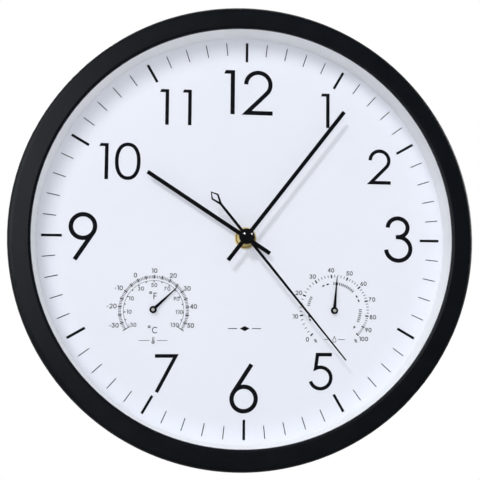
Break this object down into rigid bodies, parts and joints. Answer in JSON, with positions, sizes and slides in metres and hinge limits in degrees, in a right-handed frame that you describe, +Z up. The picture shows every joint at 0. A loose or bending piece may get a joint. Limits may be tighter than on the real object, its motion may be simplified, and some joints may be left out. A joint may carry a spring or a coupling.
{
  "type": "thermometer hygrometer wall clock",
  "caption": "Round quartz wall clock with a black rim, glass front and white dial carrying hands, a thermometer and a hygrometer.",
  "frame": {"origin": "where the dial's axis meets the wall, in the plane of the case's rear rim", "axes": "+Z up towards twelve o'clock, +Y into the wall, so the dial faces -Y"},
  "size_m": [0.3, 0.0452, 0.3],
  "materials": {
    "black_plastic": "moulded black plastic with a fine satin grain",
    "clear_glass": "flat clear float glass",
    "white_plastic": "white moulded plastic",
    "printed_paper": "matt white card with black print",
    "zinc_steel": "zinc-plated steel",
    "movement_plastic": "black moulded plastic",
    "rubber": "black rubber",
    "brass": "turned brass",
    "battery_jacket": "plain printed foil jacket on steel",
    "spring_brass": "nickel-plated brass strip",
    "board_laminate": "green laminate board",
    "chip_resin": "black casting resin",
    "motor_iron": "soft magnetic iron sheet",
    "copper_wire": "enamelled copper wire",
    "magnet": "sintered magnet",
    "gear_plastic": "natural white acetal",
    "black_hand": "sheet aluminium painted satin black",
    "gloss_black": "gloss black plastic",
    "bimetal": "rolled bimetal strip",
    "humidity_strip": "metal strip with a moisture-sensitive coat",
    "steel_pin": "bright turned steel"
  },
  "bodies": {
    "case": {"front_bezel": "black_plastic", "front_glass": "clear_glass", "spacer_ring": "white_plastic", "dial": "printed_paper", "back_case": "black_plastic", "bezel_screws": "zinc_steel", "hanger_plate": "zinc_steel", "hanger_screws": "zinc_steel", "movement_housing": "movement_plastic", "movement_rear_cover": "movement_plastic", "movement_gasket": "rubber", "centre_bush": "brass", "dial_washer": "brass", "dial_nut": "brass", "battery": "battery_jacket", "positive_contact": "spring_brass", "negative_contact": "spring_brass", "circuit_board": "board_laminate", "quartz_crystal": "zinc_steel", "chip_blob": "chip_resin", "stator": "motor_iron", "coil_core": "motor_iron", "coil_bobbin": "gear_plastic", "coil_winding": "copper_wire", "thermometer_bracket": "zinc_steel", "thermometer_coil": "bimetal", "thermometer_bush": "brass", "thermometer_screws": "zinc_steel", "hygrometer_bracket": "zinc_steel", "hygrometer_coil": "humidity_strip", "hygrometer_bush": "brass", "hygrometer_screws": "zinc_steel"},
    "minute_train": {"minute_hand": "black_hand", "centre_wheel": "gear_plastic"},
    "hour_train": {"hour_hand": "black_hand", "hour_wheel": "gear_plastic"},
    "second_train": {"second_hand": "black_hand", "hand_cap": "gloss_black", "second_wheel": "gear_plastic"},
    "third_train": {"third_wheel": "gear_plastic"},
    "intermediate_train": {"intermediate_wheel": "gear_plastic"},
    "rotor": {"rotor_pinion": "gear_plastic", "rotor_magnet": "magnet"},
    "motion_work": {"minute_wheel": "gear_plastic"},
    "setting_shaft": {"setting_knob": "movement_plastic", "setting_pinion": "gear_plastic"},
    "thermometer_needle": {"thermometer_pointer": "black_hand", "thermometer_arbor": "steel_pin"},
    "hygrometer_needle": {"hygrometer_pointer": "black_hand", "hygrometer_arbor": "steel_pin"}
  },
  "joints": [
    {"name": "minute_hand_turn", "type": "hinge", "parent": "case", "child": "minute_train", "pos_m": [0, -0.02, 0], "axis": [0, 1, 0], "continuous": true},
    {"name": "hour_hand_turn", "type": "hinge", "parent": "case", "child": "hour_train", "pos_m": [0, -0.02, 0], "axis": [0, 1, 0], "continuous": true},
    {"name": "second_hand_turn", "type": "hinge", "parent": "case", "child": "second_train", "pos_m": [0, -0.02, 0], "axis": [0, 1, 0], "continuous": true},
    {"name": "third_wheel_turn", "type": "hinge", "parent": "case", "child": "third_train", "pos_m": [-0.00865, -0.02, 0.00865], "axis": [0, 1, 0], "continuous": true},
    {"name": "intermediate_wheel_turn", "type": "hinge", "parent": "case", "child": "intermediate_train", "pos_m": [0.00812, -0.02, -0.00296], "axis": [0, 1, 0], "continuous": true},
    {"name": "rotor_turn", "type": "hinge", "parent": "case", "child": "rotor", "pos_m": [0.01503, -0.02, -0.00044], "axis": [0, 1, 0], "continuous": true},
    {"name": "minute_wheel_turn", "type": "hinge", "parent": "case", "child": "motion_work", "pos_m": [0.00849, -0.02, 0.00849], "axis": [0, 1, 0], "continuous": true},
    {"name": "setting_knob_turn", "type": "hinge", "parent": "case", "child": "setting_shaft", "pos_m": [0.01424, -0.02, 0.01844], "axis": [0, 1, 0], "continuous": true},
    {"name": "thermometer_swing", "type": "hinge", "parent": "case", "child": "thermometer_needle", "pos_m": [-0.0604, -0.02, -0.0481], "axis": [0, 1, 0], "range_deg": [-170.7, 78.1], "stiffness_Nm_per_rad": 0.0003},
    {"name": "hygrometer_swing", "type": "hinge", "parent": "case", "child": "hygrometer_needle", "pos_m": [0.0604, -0.02, -0.0481], "axis": [0, 1, 0], "range_deg": [-141.8, 131.5], "stiffness_Nm_per_rad": 0.0003}
  ],
  "couplings": [
    {"joint": "hour_hand_turn", "follows": "minute_hand_turn", "ratio": 0.083333},
    {"joint": "second_hand_turn", "follows": "minute_hand_turn", "ratio": 60},
    {"joint": "third_wheel_turn", "follows": "minute_hand_turn", "ratio": -8},
    {"joint": "intermediate_wheel_turn", "follows": "minute_hand_turn", "ratio": -300},
    {"joint": "rotor_turn", "follows": "minute_hand_turn", "ratio": 1800},
    {"joint": "minute_wheel_turn", "follows": "minute_hand_turn", "ratio": -0.33333},
    {"joint": "setting_knob_turn", "follows": "minute_hand_turn", "ratio": 1.2}
  ]
}
